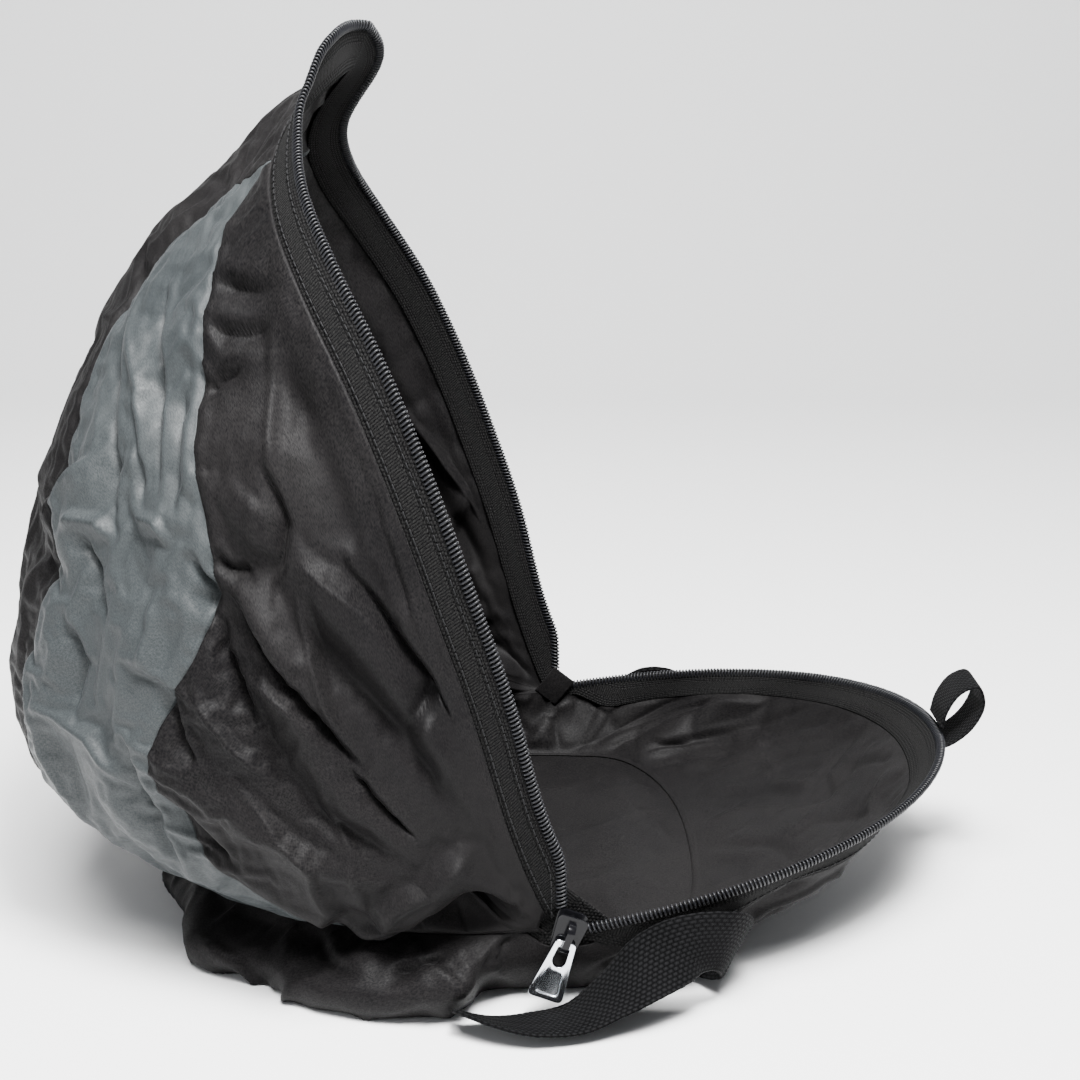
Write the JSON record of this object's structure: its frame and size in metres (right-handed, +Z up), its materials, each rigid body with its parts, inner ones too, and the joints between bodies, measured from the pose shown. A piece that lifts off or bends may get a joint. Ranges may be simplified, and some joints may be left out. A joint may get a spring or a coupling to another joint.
{
  "type": "packable backpack",
  "caption": "Thin nylon packable backpack lying half unzipped on its back panel, its front raised as a hood, with grey stripes, webbing straps and a metal zip pull.",
  "frame": {"origin": "centre of the bounding box at the ground, under the back panel", "axes": "+Z up from the ground; +X towards the open top end with the haul loop; -Y is the near side with the zip slider"},
  "size_m": [0.3354, 0.267, 0.2899],
  "materials": {
    "black_cloth": "thin plain-weave nylon, slight sheen",
    "grey_cloth": "thin plain-weave nylon, slight sheen",
    "zip_tape": "knitted ribbed tape, matt",
    "zip_coil": "satin nylon monofilament",
    "webbing": "coarse pebbly weave, matt",
    "black_enamel": "gloss black enamel",
    "bright_metal": "polished nickel plate"
  },
  "bodies": {
    "bag": {"hood_side_near": "black_cloth", "hood_side_far": "black_cloth", "hood_centre": "black_cloth", "base_wall": "black_cloth", "back_panel": "black_cloth", "haul_loop": "black_cloth", "hood_stripe_near": "grey_cloth", "hood_stripe_far": "grey_cloth", "hood_zip_tape": "zip_tape", "base_zip_tape": "zip_tape", "hood_zip_coil": "zip_coil", "base_zip_coil": "zip_coil", "shoulder_strap_near": "webbing", "shoulder_strap_far": "webbing", "zip_slider": "black_enamel"},
    "pull": {"zip_pull": "bright_metal"}
  },
  "joints": [
    {"name": "pull_swing", "type": "hinge", "parent": "bag", "child": "pull", "pos_m": [0.02001, -0.1135, 0.02412], "axis": [-0.9397, 0, 0.342], "range_deg": [-6, 120]}
  ]
}
